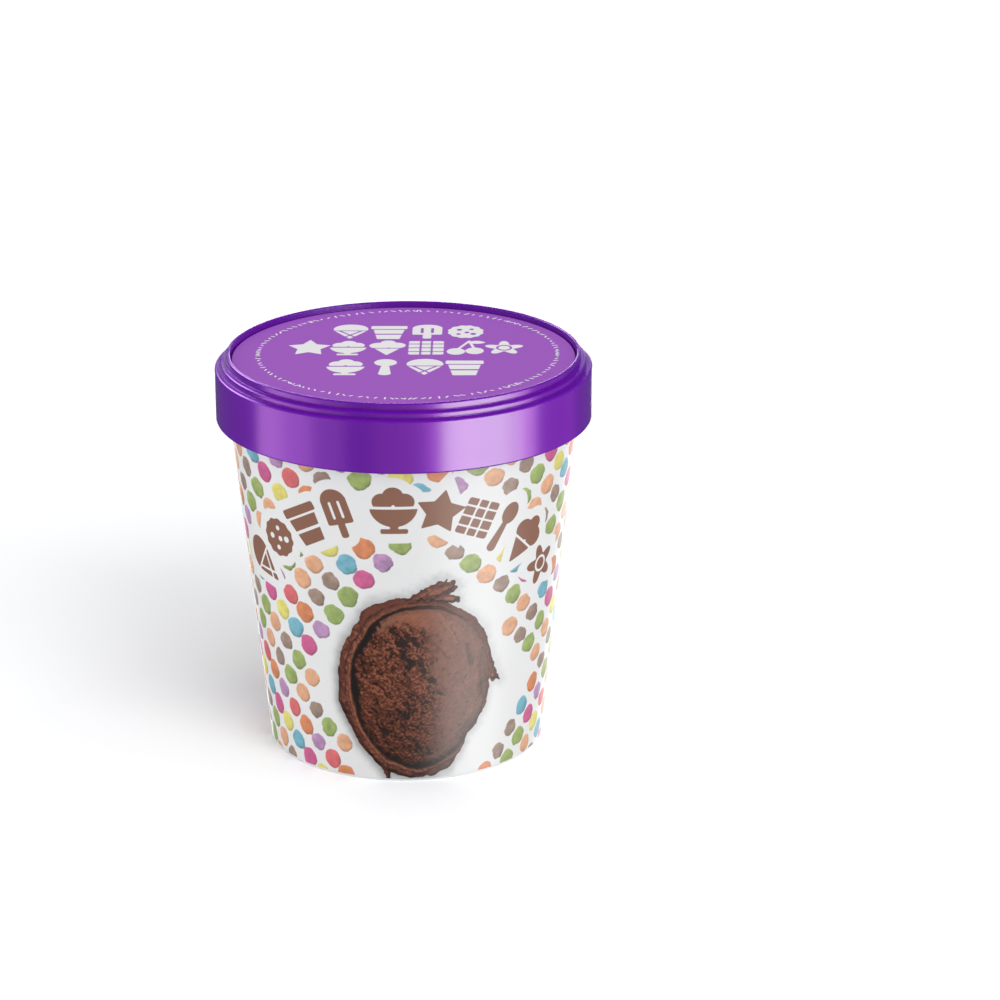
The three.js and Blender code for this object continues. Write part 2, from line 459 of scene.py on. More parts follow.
# The arch: each treat's lean from the arch's middle, in degrees, its shape and its scale.
ARCH_MIDDLE = (-0.5, 28.5)
ARCH_RADIUS = 50.6
ARCH = (
    (-55.5, cornet, 1.40),
    (-42.0, biscuit, 1.24),
    (-28.8, little_tub, 1.30),
    (-17.0, ice_pop, 1.33),
    (-1.2, sundae, 1.24),
    (11.6, star, 1.28),
    (22.9, wafer, 1.23),
    (32.2, spoon, 1.34),
    (42.9, double_cornet, 1.36),
    (56.4, blossom, 1.30),
)
arch_treats = [
    (
        shape,
        (
            ARCH_MIDDLE[0] + ARCH_RADIUS * math.sin(math.radians(lean)),
            ARCH_MIDDLE[1] + ARCH_RADIUS * math.cos(math.radians(lean)),
        ),
        lean,
        (scale, scale),
    )
    for lean, shape, scale in ARCH
]

# The scoop: half sizes of its ball, the radius at which noise is taken round it, the place and size of
# its deepest pits, and the screen colours of its parts in each flavour.
BALL_WIDE, BALL_HIGH, BALL_MEAN, BALL_DEEP = 19.4, 23.4, 21.0, 8.0
LIP_BEARING = 22.0
PITS = (
    (-5.0, 13.0, 1.5),
    (-2.8, 14.2, 1.2),
    (-4.6, 10.6, 1.1),
    (-2.2, 8.2, 1.1),
    (1.6, 5.2, 1.0),
    (3.4, 2.4, 0.9),
    (4.2, 8.0, 0.8),
    (5.4, -2.0, 1.2),
    (6.4, -4.8, 1.0),
    (0.2, -10.6, 1.1),
    (-5.4, -15.0, 1.3),
    (0.5, -17.4, 1.5),
    (2.8, -18.8, 1.5),
    (-12.5, 1.0, 0.9),
    (-15.6, 3.6, 1.2),
    (-7.0, -8.5, 0.8),
    (-9.5, -13.0, 1.1),
)
SCOOP_PARTS = ("smooth", "cap", "torn", "lip", "ridge", "deep")
FLAVOURS = {
    "chocolate": (
        (121, 78, 62), (139, 83, 59), (106, 51, 28), (108, 56, 41), (164, 96, 66), (32, 25, 23)
    ),
    "blue": (
        (96, 176, 206), (112, 190, 214), (66, 148, 184), (72, 154, 188), (160, 216, 230), (24, 78, 108)
    ),
    "plum": (
        (164, 62, 142), (176, 78, 152), (138, 38, 116), (146, 46, 124), (206, 120, 184), (70, 14, 60)
    ),
}


def beads(x, y, size, seed):
    """Rounded grains, from 0 between them to 1 at their middles: 1 - d^2 / 0.5, where d is the
    distance to the nearest of one random point in each square of a lattice of the given size."""
    places = np.random.default_rng(seed).random((128, 128, 2))
    a, b = x / size, y / size
    i, j = np.floor(a).astype(int), np.floor(b).astype(int)
    nearest = np.full(a.shape, BARE)
    for step_i in (-1, 0, 1):
        for step_j in (-1, 0, 1):
            place = places[(i + step_i) % 128, (j + step_j) % 128]
            away = np.hypot(i + step_i + place[..., 0] - a, j + step_j + place[..., 1] - b)
            nearest = np.minimum(nearest, away)
    return np.clip(1 - nearest ** 2 / 0.5, 0, 1)


def scoop_edges(u, v):
    """The scoop's outline: 1 at the ball's edge, then how far outside the ball's edge, the lip's
    width there, how far outside the shavings and outside the whole scoop, the bearing, and how
    lumpy the lip is there.

    The ball is an ellipse bent by noise. A lip of varying width runs round it, shavings of tapered
    strokes lie on its top and right side, and a short drip hangs below.
    """
    bearing = np.degrees(np.arctan2(v, u)) % 360
    around = LIP_BEARING * np.cos(np.radians(bearing)), LIP_BEARING * np.sin(np.radians(bearing))
    su, sv = u + 0.35 * cloud(u, v, 6, 1, 3), v + 0.35 * cloud(u, v, 6, 2, 3)
    ball = np.hypot((su - 0.2) / BALL_WIDE, sv / BALL_HIGH) + 0.045 * hump(bearing, 312, 24)
    edge = (ball - 1) * BALL_MEAN
    lip = 2.6 + 1.8 * np.cos(np.radians(bearing - 172)) + 0.55 * cloud(*around, 4.0, 3, 3)
    lip += 0.9 * hump(bearing, 118, 14) + 0.8 * hump(bearing, 30, 25) + 1.2 * hump(bearing, 284, 12)
    lip -= 0.9 * hump(bearing, 310, 16)
    lumps = hump(bearing, 118, 24) + hump(bearing, 20, 40) + hump(bearing, 320, 30)
    body = edge - lip + (0.14 + 0.20 * lumps) * cloud(u, v, 1.6, 4, 3)
    shavings = np.minimum.reduce(
        [
            stroke(su, sv, (-1.6, 26.2), (4.6, 29.8), 1.7, 1.5),
            stroke(su, sv, (1.0, 26.6), (7.6, 28.4), 2.0, 1.7),
            stroke(su, sv, (5.0, 30.2), (7.6, 30.0), 1.3, 1.1),
            stroke(su, sv, (4.0, 25.6), (9.2, 25.6), 1.6, 1.2),
        ]
    ) + 0.75 * cloud(u, v, 1.7, 5, 3, 0.55)
    spur = np.minimum(
        stroke(su, sv, (19.0, 9.0), (21.6, 0.5), 0.9, 1.3),
        stroke(su, sv, (21.5, 1.5), (23.8, -0.8), 0.9, 0.35),
    ) + 0.35 * cloud(u, v, 1.2, 6, 3)
    drip = stroke(su, sv, (-10.0, -22.0), (-9.6, -26.4), 1.9, 0.5) + 0.25 * cloud(u, v, 1.2, 7, 2)
    chips = np.minimum(shavings, spur)
    return ball, edge, lip, chips, np.minimum.reduce([body, chips, drip]), bearing, lumps


def scoop_picture(across, up, flavour):
    """Colours of a scoop of ice cream on a flat grid, and the distance outside its outline.

    A relief of dome, torn crumb, scraped side, lip and shavings is worked out in millimetres, lit
    from above by its own slopes, and darkened in its pits and in the gap between ball and lip.
    """
    inks = {part: srgb(*screen) for part, screen in zip(SCOOP_PARTS, FLAVOURS[flavour])}
    u, v = np.meshgrid(across, up)
    ball, edge, lip, chips, outline, bearing, lumps = scoop_edges(u, v)
    turn = np.radians(bearing)
    ring_u, ring_v = LIP_BEARING * np.cos(turn), LIP_BEARING * np.sin(turn)
    left = ease(-u, -6, 12)
    inside = ease(-edge, -0.15, 0.25)

    along, across_grain = 0.62 * u - 0.78 * v, 0.78 * u + 0.62 * v
    along = along + 0.50 * cloud(u, v, 3.0, 11, 2)
    across_grain = across_grain + 0.55 * cloud(u, v, 3.0, 12, 2)
    coarse = cloud(along / 2.8, across_grain, 1.15, 13, 2)
    medium = cloud(along / 1.8, across_grain, 0.78, 14, 2)
    grains = beads(along / 1.25, across_grain, 0.70, 39)
    fine = cloud(u, v, 0.60, 17, 3, 0.7)
    soft = cloud(u, v, 5.0, 16, 3)
    limit = u - 2.6 - 3.4 * hump(v, -4, 7) + 2.2 * cloud(u, v, 3.2, 15, 3)
    torn = ease(-limit, -4.2, 4.2) * ease(-(v - 17.6 + 0.10 * u + 2.4 * soft), -3.0, 3.0)
    deep = np.max([hump(np.hypot(0.75 * (u - pu), v - pv), 0, size) for pu, pv, size in PITS], axis=0)
    depth = 0.55 * coarse + 0.22 * medium + 0.55 * (grains - 0.5) + 0.16 * fine + 0.30 * soft
    pit = ease(0.65 * deep - depth, 0.30, 0.70) * np.clip(torn + 0.7 * deep, 0, 1) * inside

    scrape = cloud(13 * ball + 0.6 * cloud(u, v, 8, 30, 2), turn * 2.0, 1.0, 18, 4, 0.7)
    fold = stroke(u + 0.4 * cloud(u, v, 3, 31, 2), v, (5.0, 21.5), (9.8, 12.5), 0, 0)
    dent = stroke(u + 0.5 * cloud(u, v, 3, 32, 2), v, (0.5, 16.0), (7.5, 8.5), 0, 0)
    crease = hump(fold, 0, 0.40) - 0.9 * hump(dent, 0, 0.35)
    pores = ease(-cloud(u, v, 0.9, 38, 2), 0.85, 1.15) * (1 - torn)
    dome = BALL_DEEP * np.sqrt(np.clip(1 - np.clip(ball, 0, 1) ** 2, 0, 1))
    crumb = torn * (0.34 * grains + 0.22 * coarse + 0.10 * medium + 0.09 * fine)
    scraped = 0.09 * scrape + 0.07 * fine + 0.26 * cloud(u, v, 4.5, 19, 2) + 0.60 * crease
    face = dome - 0.55 * pit - 0.25 * pores + crumb + (1 - torn) * scraped
    ridge_at = 0.85 + 0.25 * cloud(ring_u, ring_v, 3.0, 20, 3)
    ridge = hump(edge, ridge_at, 0.26 + 0.10 * left)
    second = hump(edge, ridge_at + 1.7, 0.40) * ease(lip, 2.2, 3.0)
    foot = 1.5 * ease(-outline, 0.0, 1.5) + 0.9 * ridge + 0.5 * second
    foot += (0.14 + 0.28 * lumps) * cloud(u, v, 1.5, 21, 4, 0.6)
    loose = ease(-chips, -0.1, 0.3) * ease(edge, 0.9, 1.6)
    curls = 2.4 * ease(-chips, -0.1, 1.5) + 1.3 * cloud(0.55 * u + v, 0.9 * v - 0.4 * u, 1.5, 22, 3, 0.6)
    height = (face * inside + foot * (1 - inside)) * (1 - loose) + curls * loose
    slope_v, slope_u = np.gradient(height, up, across)
    lit = (0.85 + 0.15 * slope_u - 0.50 * slope_v) / np.sqrt(1 + slope_u ** 2 + slope_v ** 2)
    lit = np.clip(lit, 0, 1.2)

    gap_wide = 0.35 + 0.40 * cloud(ring_u, ring_v, 4.0, 23, 3) + 2.0 * hump(bearing, 181, 24)
    gap_wide += 0.8 * hump(bearing, 275, 26) + 1.2 * hump(bearing, 131, 13)
    gap = ease(gap_wide + edge + 0.7 * medium, -0.5, 0.5) * ease(-edge, -0.5, 0.0)
    gap = gap * ease(bearing, 104, 122) * ease(-bearing, -325, -290)
    seams = np.minimum(
        stroke(u, v, (12.4, 12.0), (14.2, 6.0), 0.5, 0.6),
        stroke(u, v, (16.6, 8.0), (17.7, -3.8), 0.3, 0.5),
    )
    pressed = ease(-seams - 0.6 * cloud(1.4 * u, 0.5 * v, 1.3, 35, 3), -0.7, 0.6) * inside
    behind = 0.8 * hump(edge, 0.35, 0.45) * ease(bearing, 60, 100) * ease(-bearing, -165, -140)
    clear = (1 - 0.97 * gap) * (1 - 0.55 * pressed) * (1 - behind)
    clear = clear * (1 - 0.86 * pit) * (1 - 0.5 * pores)

    cap = hump(np.hypot(u + 2, v - 19), 0, 7)
    colour = blend(blend(inks["smooth"], inks["cap"], cap), inks["torn"], torn)
    colour = blend(colour, inks["lip"], 1 - inside)
    marks = (1 - torn) * (0.12 * scrape + 0.28 * crease)
    colour = colour * (0.25 + 0.90 * lit + 0.16 * fine + marks)[..., None]
    crevice = torn * (1 - ease(grains + 0.25 * fine, 0.0, 0.60))
    furrow = torn * (1 - ease(np.abs(cloud(along / 4.5, across_grain, 1.5, 42, 2)), 0.02, 0.24))
    colour = colour * (1 - 0.32 * crevice - 0.48 * furrow)[..., None]
    crests = ease(grains + 0.6 * fine + 0.3 * coarse - 0.6 * furrow, 0.45, 1.15)
    bright = 0.74 * torn * crests * ease(lit, 0.55, 1.0) * (1 - pit)
    bright += 0.85 * ridge * (1 - inside) * (0.25 + 0.75 * left) * (0.75 + 0.5 * fine)
    bright += 0.75 * loose * ease(curls, 1.8, 3.0)
    colour = blend(colour, inks["ridge"], np.clip(bright, 0, 1))
    colour = blend(colour, inks["deep"], 1 - clear)
    return colour * (1 - 0.35 * ease(outline, -0.7, 0.0))[..., None], outline


# Each scoop's flat place and size, its flavour, and the white space kept clear of dots round it:
# the middle of a slanting square, its reach to the left, right, up and down.
SCOOPS = (
    ((5.0, 27.4), 1.0, "chocolate", (6.0, 29.0), (28.0, 31.5, 35.0, 52.0)),
    ((86.0, 56.0), 0.42, "blue", (86.0, 56.0), (13.5, 14.5, 16.0, 16.0)),
    ((-87.5, 25.0), 0.42, "plum", (-87.5, 25.0), (13.5, 14.5, 16.0, 16.0)),
)
CLEARING = 1.14
SHADOW_REACH = 1.8
SHADOW_DARK = (0.35, 0.19)
SHADOW_SIDE = 200.0


def artwork(across, up):
    """The whole print on a flat grid: distances outside dots, treats and scoops, and their inks.

    A scoop's shadow darkens the white round it by a bump of the distance, most at its left.
    """
    x, z = np.meshgrid(across, up)
    dots, dot_ink, middle_x, middle_z = candy_dots(x, z)
    scoop, scoop_ink, shadow = np.full(x.shape, BARE), np.ones(x.shape + (3,)), np.ones(x.shape)
    for (place_x, place_z), scale, flavour, (clear_x, clear_z), reaches in SCOOPS:
        to_left, to_right, above, below = reaches
        picture, outline = scoop_picture((across - place_x) / scale, (up - place_z) / scale, flavour)
        nearer = outline * scale < scoop
        scoop_ink = np.where(nearer[..., None], picture, scoop_ink)
        scoop = np.where(nearer, outline * scale, scoop)
        lean = np.arctan2(z - place_z, x - place_x) - math.radians(SHADOW_SIDE)
        dark = SHADOW_DARK[0] + SHADOW_DARK[1] * np.cos(lean)
        shadow = np.minimum(shadow, 1 - dark * hump(np.maximum(outline * scale, 0), 0, SHADOW_REACH))
        gone = np.abs(middle_x - clear_x) / np.where(middle_x < clear_x, to_left, to_right)
        gone += np.abs(middle_z - clear_z) / np.where(middle_z < clear_z, below, above)
        dots = np.where(gone < CLEARING, BARE, dots)
    edges = {"dot_edge": dots, "treat_edge": treats(x, z, arch_treats), "scoop_edge": scoop}
    grey = np.stack([shadow] * 3, -1)
    return edges, {"dot_ink": dot_ink * grey, "scoop_ink": scoop_ink, "shadow_ink": grey}


def carry(piece, edges, inks, start=0):
    """Stores edges and inks at a piece's points, numbered row by row from start; others stay bare."""
    count = len(piece.data.vertices)
    for name, values in edges.items():
        whole = np.full(count, BARE, np.float32)
        whole[start:start + values.size] = values.ravel()
        piece.data.attributes.new(name, "FLOAT", "POINT").data.foreach_set("value", whole)
    for name, values in inks.items():
        whole = np.ones((count, 4), np.float32)
        whole[start:start + values[..., 0].size, :3] = np.clip(values, 0, 1).reshape(-1, 3)
        piece.data.attributes.new(name, "FLOAT_COLOR", "POINT").data.foreach_set("color", whole.ravel())


def on_cone(x, z, proud):
    """Points of the cup's outside at flat places, moved outwards by a little."""
    angle = np.radians(x / FLAT)
    radius = cup_radius(z) + proud
    return np.stack([radius * np.sin(angle), -radius * np.cos(angle), z], -1).reshape(-1, 3)


def print_film(name, left, right, low, high, step, proud):
    """A film of ink over a flat rectangle of the wall: a fine grid in front, joined by quads to a
    straight back, with one flat outline at each end, so that it is a closed shell.

    Near its left, right and top borders the front sinks softly under the wall, so no edge shows.
    """
    across = np.linspace(left, right, round((right - left) / step) + 1)
    up = np.linspace(low, high, round((high - low) / step) + 1)
    x, z = np.meshgrid(across, up)
    border = np.minimum.reduce([x - left, right - x, high - z])
    border = np.minimum(border, FILM_EDGE if low < FILM_EDGE else z - low)
    front = on_cone(x, z, INK_SUNK + (proud - INK_SUNK) * ease(border, 0, FILM_EDGE))
    back = on_cone(*np.meshgrid(across, up[[0, -1]]), INK_BACK)
    number = np.arange(len(front)).reshape(len(up), len(across))
    back_low = len(front) + np.arange(len(across))
    back_high = back_low + len(across)
    sides = (
        (number[:-1, :-1], number[:-1, 1:], number[1:, 1:], number[1:, :-1]),
        (back_low[1:], back_low[:-1], back_high[:-1], back_high[1:]),
        (number[0, 1:], number[0, :-1], back_low[:-1], back_low[1:]),
        (number[-1, :-1], number[-1, 1:], back_high[1:], back_high[:-1]),
    )
    faces = [face for side in sides for face in np.stack(side, -1).reshape(-1, 4).tolist()]
    faces.append([*number[:, 0].tolist(), int(back_high[0]), int(back_low[0])])
    faces.append([*number[::-1, -1].tolist(), int(back_low[-1]), int(back_high[-1])])
    smooth_faces = (len(up) - 1) * (len(across) - 1)
    piece = put_mesh(name, np.concatenate([front, back]), faces, smooth_faces)
    carry(piece, *artwork(across, up))
    return piece


first_wall_ring = int(np.argmax(profile[:, 1] == WALL_BOTTOM)) - 1
carry(cup, *artwork(columns * FLAT, wall_heights), start=first_wall_ring * WALL_COLUMNS)

# Each film's left, right, low and high borders, the step of its grid and how far it stands proud.
films = [
    print_film("printed_treats", -54.0, 54.0, 43.5, 91.2, 0.33, INK_PROUD),
    print_film("printed_scoop", -24.0, 34.5, 0.75, 63.5, 0.205, 2 * INK_PROUD),
    print_film("printed_blue_scoop", 75.0, 98.0, 43.0, 71.0, 0.2, INK_PROUD),
    print_film("printed_plum_scoop", -98.5, -75.5, 12.0, 40.0, 0.2, INK_PROUD),
]

# The board's finish: white coated board with a faint fibre, inks laid on it with slightly ragged
# edges, a soft grey printed shadow round each scoop, and a satin varnish over everything.
BOARD_WHITE = (0.765, 0.765, 0.765)
TREAT_BROWN = (*srgb(140, 97, 78), 1)
TREAT_HALO = 2.7
DOT_SOFT, TREAT_SOFT, SCOOP_SOFT = 0.17, 0.10, 0.13
DOT_RAGGED, TREAT_RAGGED, SCOOP_RAGGED = 0.35, 0.06, 0.15
RAGGED_FINENESS = 2300.0
BOARD_ROUGHNESS = 0.42
BOARD_SPECULAR = 0.45
COLOUR_A, COLOUR_B, COLOUR_RESULT = 6, 7, 2


def feed(tree, node, inputs):
    """Gives each input of a node, by name or number, a value or another node's output."""
    for key, value in inputs.items():
        if isinstance(value, bpy.types.NodeSocket):
            tree.links.new(value, node.inputs[key])
        else:
            node.inputs[key].default_value = value
    return node


def put_node(tree, kind, inputs, **settings):
    """Adds a shader node with its settings and inputs."""
    node = tree.nodes.new("ShaderNode" + kind)
    for key, value in settings.items():
        setattr(node, key, value)
    return feed(tree, node, inputs)


def mixed(tree, amount, low, high):
    """Output of a colour mix from low to high."""
    inputs = {0: amount, COLOUR_A: low, COLOUR_B: high}
    return put_node(tree, "Mix", inputs, data_type="RGBA").outputs[COLOUR_RESULT]


def sum_up(tree, operation, *terms):
    """Output of a Math node on up to three values."""
    return put_node(tree, "Math", dict(enumerate(terms)), operation=operation).outputs[0]


def new_group(name, inputs, outputs):
    """An empty node group with float inputs, given with their values, and outputs of given kinds."""
    group = bpy.data.node_groups.new(name, "ShaderNodeTree")
    for label, value in inputs.items():
        socket = group.interface.new_socket(label, in_out="INPUT", socket_type="NodeSocketFloat")
        socket.default_value = value
    for label, kind in outputs.items():
        group.interface.new_socket(label, in_out="OUTPUT", socket_type="NodeSocket" + kind)
    return group, group.nodes.new("NodeGroupInput"), group.nodes.new("NodeGroupOutput")


def use_group(tree, group, inputs):
    """Places a node group in a material with its own values."""
    node = tree.nodes.new("ShaderNodeGroup")
    node.node_tree = group
    return feed(tree, node, inputs)


def noise(tree, place, scale, detail, roughness=0.5):
    """Output of a noise texture, from 0 to 1, at a place."""
    inputs = {"Vector": place, "Scale": scale, "Detail": detail, "Roughness": roughness}
    return put_node(tree, "TexNoise", inputs).outputs["Fac"]


def surface_group(name, values, fine, broad, bump_distance, tint_by_fine):
    """A group for a slightly uneven surface, from a fine noise of (detail, roughness) and a broad one
    of (scale, detail), both in Object coordinates.

    Fine noise raises the bumps, and broad noise, less a half and times the gloss amount, makes the
    gloss uneven. The tint is 1 and one of the two noises, less a half, times the tint amount.
    """
    kinds = {"Tint": "Float", "Gloss": "Float", "Normal": "Vector"}
    group, given, result = new_group(name, values, kinds)
    place = put_node(group, "TexCoord", {}).outputs["Object"]
    grain = noise(group, place, given.outputs["Fineness"], *fine)
    patches = noise(group, place, *broad)
    patch_offset = sum_up(group, "SUBTRACT", patches, 0.5)
    tint_offset = sum_up(group, "SUBTRACT", grain, 0.5) if tint_by_fine else patch_offset
    bump_inputs = {"Strength": given.outputs["Depth"], "Distance": bump_distance, "Height": grain}
    bumps = put_node(group, "Bump", bump_inputs)
    tint = sum_up(group, "MULTIPLY_ADD", tint_offset, given.outputs["Tint"], 1.0)
    gloss = sum_up(group, "MULTIPLY", patch_offset, given.outputs["Gloss"])
    feed(group, result, {"Tint": tint, "Gloss": gloss, "Normal": bumps.outputs["Normal"]})
    return group


def dress(tree, shader, surface, colour, roughness, uneven=True):
    """Feeds a shader from a placed surface group: the colour times its tint, its bumps, and its gloss
    added to the roughness, which is left the same all over where it isn't uneven."""
    inputs = {0: colour, "Scale": surface.outputs["Tint"]}
    tinted = put_node(tree, "VectorMath", inputs, operation="SCALE").outputs[0]
    if uneven:
        roughness = sum_up(tree, "ADD", surface.outputs["Gloss"], roughness)
    normal = surface.outputs["Normal"]
    feed(tree, shader, {"Base Color": tinted, "Roughness": roughness, "Normal": normal})


# Fibre: fine noise tints the surface and raises its bumps, and broad noise makes the gloss uneven.
fibre = surface_group(
    "paper_fibre",
    {"Fineness": 1800.0, "Tint": 0.03, "Gloss": 0.05, "Depth": 0.04},
    fine=(4.0, 0.65),
    broad=(90.0, 2.0),
    bump_distance=0.0001,
    tint_by_fine=True,
)

# Ink edge: 1 inside a printed shape and 0 outside, from the distance outside it in millimetres, with
# fine noise added to the distance so that the edge is slightly ragged.
ink_edge, ink_in, ink_out = new_group(
    "ink_edge", {"Distance": 0.0, "Soft": 0.1, "Ragged": 0.1}, {"Mask": "Float"}
)
ink_place = put_node(ink_edge, "TexCoord", {}).outputs["Object"]
ink_noise = sum_up(ink_edge, "SUBTRACT", noise(ink_edge, ink_place, RAGGED_FINENESS, 2.0), 0.5)
ragged = sum_up(ink_edge, "MULTIPLY", ink_noise, ink_in.outputs["Ragged"])
ragged_distance = sum_up(ink_edge, "ADD", ragged, ink_in.outputs["Distance"])
mask = put_node(
    ink_edge,
    "MapRange",
    {
        "Value": ragged_distance,
        "From Min": sum_up(ink_edge, "MULTIPLY", ink_in.outputs["Soft"], -1.0),
        "From Max": ink_in.outputs["Soft"],
        "To Min": 1.0,
        "To Max": 0.0,
    },
    interpolation_type="SMOOTHSTEP",
)
ink_edge.links.new(mask.outputs["Result"], ink_out.inputs["Mask"])

board, board_tree, board_shader = new_material("varnished_white_board")


def stored(tree, name, output="Fac"):
    """Output of a node that reads a stored attribute of the surface."""
    return put_node(tree, "Attribute", {}, attribute_name=name).outputs[output]


def ink_mask(tree, distance, soft, ragged_by):
    """Mask of a printed shape from its distance."""
    inputs = {"Distance": distance, "Soft": soft, "Ragged": ragged_by}
    return use_group(tree, ink_edge, inputs).outputs["Mask"]


treat_edge = stored(board_tree, "treat_edge")
scoop_edge = stored(board_tree, "scoop_edge")
halo_edge = sum_up(board_tree, "SUBTRACT", TREAT_HALO, treat_edge)
dot_mask = ink_mask(board_tree, stored(board_tree, "dot_edge"), DOT_SOFT, DOT_RAGGED)
dot_mask = sum_up(board_tree, "MULTIPLY", dot_mask, ink_mask(board_tree, halo_edge, DOT_SOFT, 0.0))
treat_mask = ink_mask(board_tree, treat_edge, TREAT_SOFT, TREAT_RAGGED)
scoop_mask = ink_mask(board_tree, scoop_edge, SCOOP_SOFT, SCOOP_RAGGED)

bare_inputs = {0: stored(board_tree, "shadow_ink", "Color"), 1: BOARD_WHITE}
bare_board = put_node(board_tree, "VectorMath", bare_inputs, operation="MULTIPLY").outputs[0]
inks = mixed(board_tree, dot_mask, bare_board, stored(board_tree, "dot_ink", "Color"))
inks = mixed(board_tree, treat_mask, inks, TREAT_BROWN)
inks = mixed(board_tree, scoop_mask, inks, stored(board_tree, "scoop_ink", "Color"))
board_fibre = use_group(
    board_tree, fibre, {"Fineness": 1800.0, "Tint": 0.05, "Gloss": 0.08, "Depth": 0.10}
)
dress(board_tree, board_shader, board_fibre, inks, BOARD_ROUGHNESS)
board_shader.inputs["Specular IOR Level"].default_value = BOARD_SPECULAR

for printed_piece in [cup, *films]:
    printed_piece.data.materials.append(board)
    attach(printed_piece, "root")
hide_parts("cup")

# The base disc: the same board, punched round, uncoated and held in the hem, with a shallow ring
# pressed into it that keeps it stiff.
DISC_RADIUS = 34.6
DISC_BOTTOM = 5.5
DISC_THICKNESS = 0.6
RING_RADIUS = 25.0
RING_WIDTH = 2.2
RING_DEPTH = 0.22
DISC_STEP = 1.5
UNCOATED_WHITE = (0.76, 0.75, 0.72)
UNCOATED_ROUGHNESS = 0.75

disc_profile = softened(
    [
        (0, DISC_BOTTOM, 0),
        (RING_RADIUS - RING_WIDTH, DISC_BOTTOM, 0.8),
        (RING_RADIUS - RING_WIDTH / 2, DISC_BOTTOM + RING_DEPTH, 0.8),
        (RING_RADIUS + RING_WIDTH / 2, DISC_BOTTOM + RING_DEPTH, 0.8),
        (RING_RADIUS + RING_WIDTH, DISC_BOTTOM, 0.8),
        (DISC_RADIUS, DISC_BOTTOM, 0.12),
        (DISC_RADIUS, DISC_BOTTOM + DISC_THICKNESS, 0.12),
        (0, DISC_BOTTOM + DISC_THICKNESS, 0),
    ],
    steps=4,
)
disc = turned("base_board_disc", disc_profile[:, 0], disc_profile[:, 1], np.arange(0, 360, DISC_STEP))
base_board, base_tree, base_shader = new_material("plain_white_board")
base_fibre = use_group(base_tree, fibre, {"Fineness": 1100.0, "Tint": 0.16, "Gloss": 0.06, "Depth": 0.35})
dress(base_tree, base_shader, base_fibre, UNCOATED_WHITE, UNCOATED_ROUGHNESS, uneven=False)
disc.data.materials.append(base_board)
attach(disc, "root")
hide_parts("base_disc")

# The lid: one injection moulding in deep purple, with a plain skirt, two steps and a thin crest
# that stands round the label; inside, a small bead snaps under the cup's brim.
LID_RADIUS = 50.0
LID_WALL = 1.15
SKIRT_BOTTOM = 90.3
SKIRT_TOP = 104.35
RIDGE_RADIUS = 48.4
RIDGE_TOP = 106.0
CREST_RADIUS = 46.9
CREST_TOP = 108.0
CREST_WIDTH = 0.95
CREST_LEAN = 0.25
PLATE_TOP = 105.6
PLATE_THICKNESS = 1.4
SNAP_HEIGHT = 98.6
SNAP_HALF = 0.8
SNAP_DEPTH = 0.6
LID_STEP = 0.75
LID_PURPLE = (0.120, 0.0003, 0.333)
LID_ROUGHNESS = 0.23

skirt_inner = LID_RADIUS - LID_WALL
ridge_inner = RIDGE_RADIUS - LID_WALL
plate_bottom = PLATE_TOP - PLATE_THICKNESS
crest_inner = CREST_RADIUS - CREST_WIDTH
lid_profile = softened(
    [
        (0, plate_bottom, 0),
        (ridge_inner, plate_bottom, 0.2),
        (ridge_inner, SKIRT_TOP - LID_WALL, 0.2),
        (skirt_inner, SKIRT_TOP - LID_WALL, 0.3),
        (skirt_inner, SNAP_HEIGHT + SNAP_HALF, 0.2),
        (skirt_inner - SNAP_DEPTH, SNAP_HEIGHT, 0.35),
        (skirt_inner, SNAP_HEIGHT - SNAP_HALF, 0.2),
        (skirt_inner, SKIRT_BOTTOM, 0.25),
        (LID_RADIUS, SKIRT_BOTTOM, 0.5),
        (LID_RADIUS, SKIRT_TOP, 0.5),
        (RIDGE_RADIUS, SKIRT_TOP, 0.12),
        (RIDGE_RADIUS, RIDGE_TOP, 0.4),
        (CREST_RADIUS, RIDGE_TOP, 0.12),
        (CREST_RADIUS, CREST_TOP, 0.38),
        (crest_inner, CREST_TOP, 0.38),
        (crest_inner - CREST_LEAN, PLATE_TOP, 0.1),
        (0, PLATE_TOP, 0),
    ]
)
lid = turned("stepped_lid", lid_profile[:, 0], lid_profile[:, 1], np.arange(0, 360, LID_STEP))
plastic, plastic_tree, plastic_shader = new_material("deep_purple_plastic")

# Moulded skin: the faint orange peel and cloudiness that a moulded plastic surface has.
skin = surface_group(
    "moulded_skin",
    {"Fineness": 700.0, "Tint": 0.04, "Gloss": 0.05, "Depth": 0.03},
    fine=(1.5, 0.5),
    broad=(60.0, 3.0),
    bump_distance=0.0002,
    tint_by_fine=False,
)
lid_skin = use_group(plastic_tree, skin, {"Fineness": 700.0, "Tint": 0.04, "Gloss": 0.02, "Depth": 0.012})
dress(plastic_tree, plastic_shader, lid_skin, LID_PURPLE, LID_ROUGHNESS)
lid.data.materials.append(plastic)
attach(lid, "root")
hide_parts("lid")

# The label: a disc of coated paper printed light purple, lying in the lid's recess, with three rows
# of white treats and, round them, a ring of tiny white sugar strands in eight groups.
LABEL_RADIUS = 45.4
LABEL_BOTTOM = 105.9
LABEL_THICKNESS = 0.5
LABEL_COLUMNS = 800
PRINT_REACH = 36.5
PRINT_RING = 0.36
LABEL_PURPLE = (0.306, 0.087, 0.468, 1)
LABEL_WHITE = (0.70, 0.70, 0.70, 1)
LABEL_ROUGHNESS = 0.5
LABEL_SPECULAR = 0.3
LABEL_SOFT, LABEL_RAGGED = 0.16, 0.10

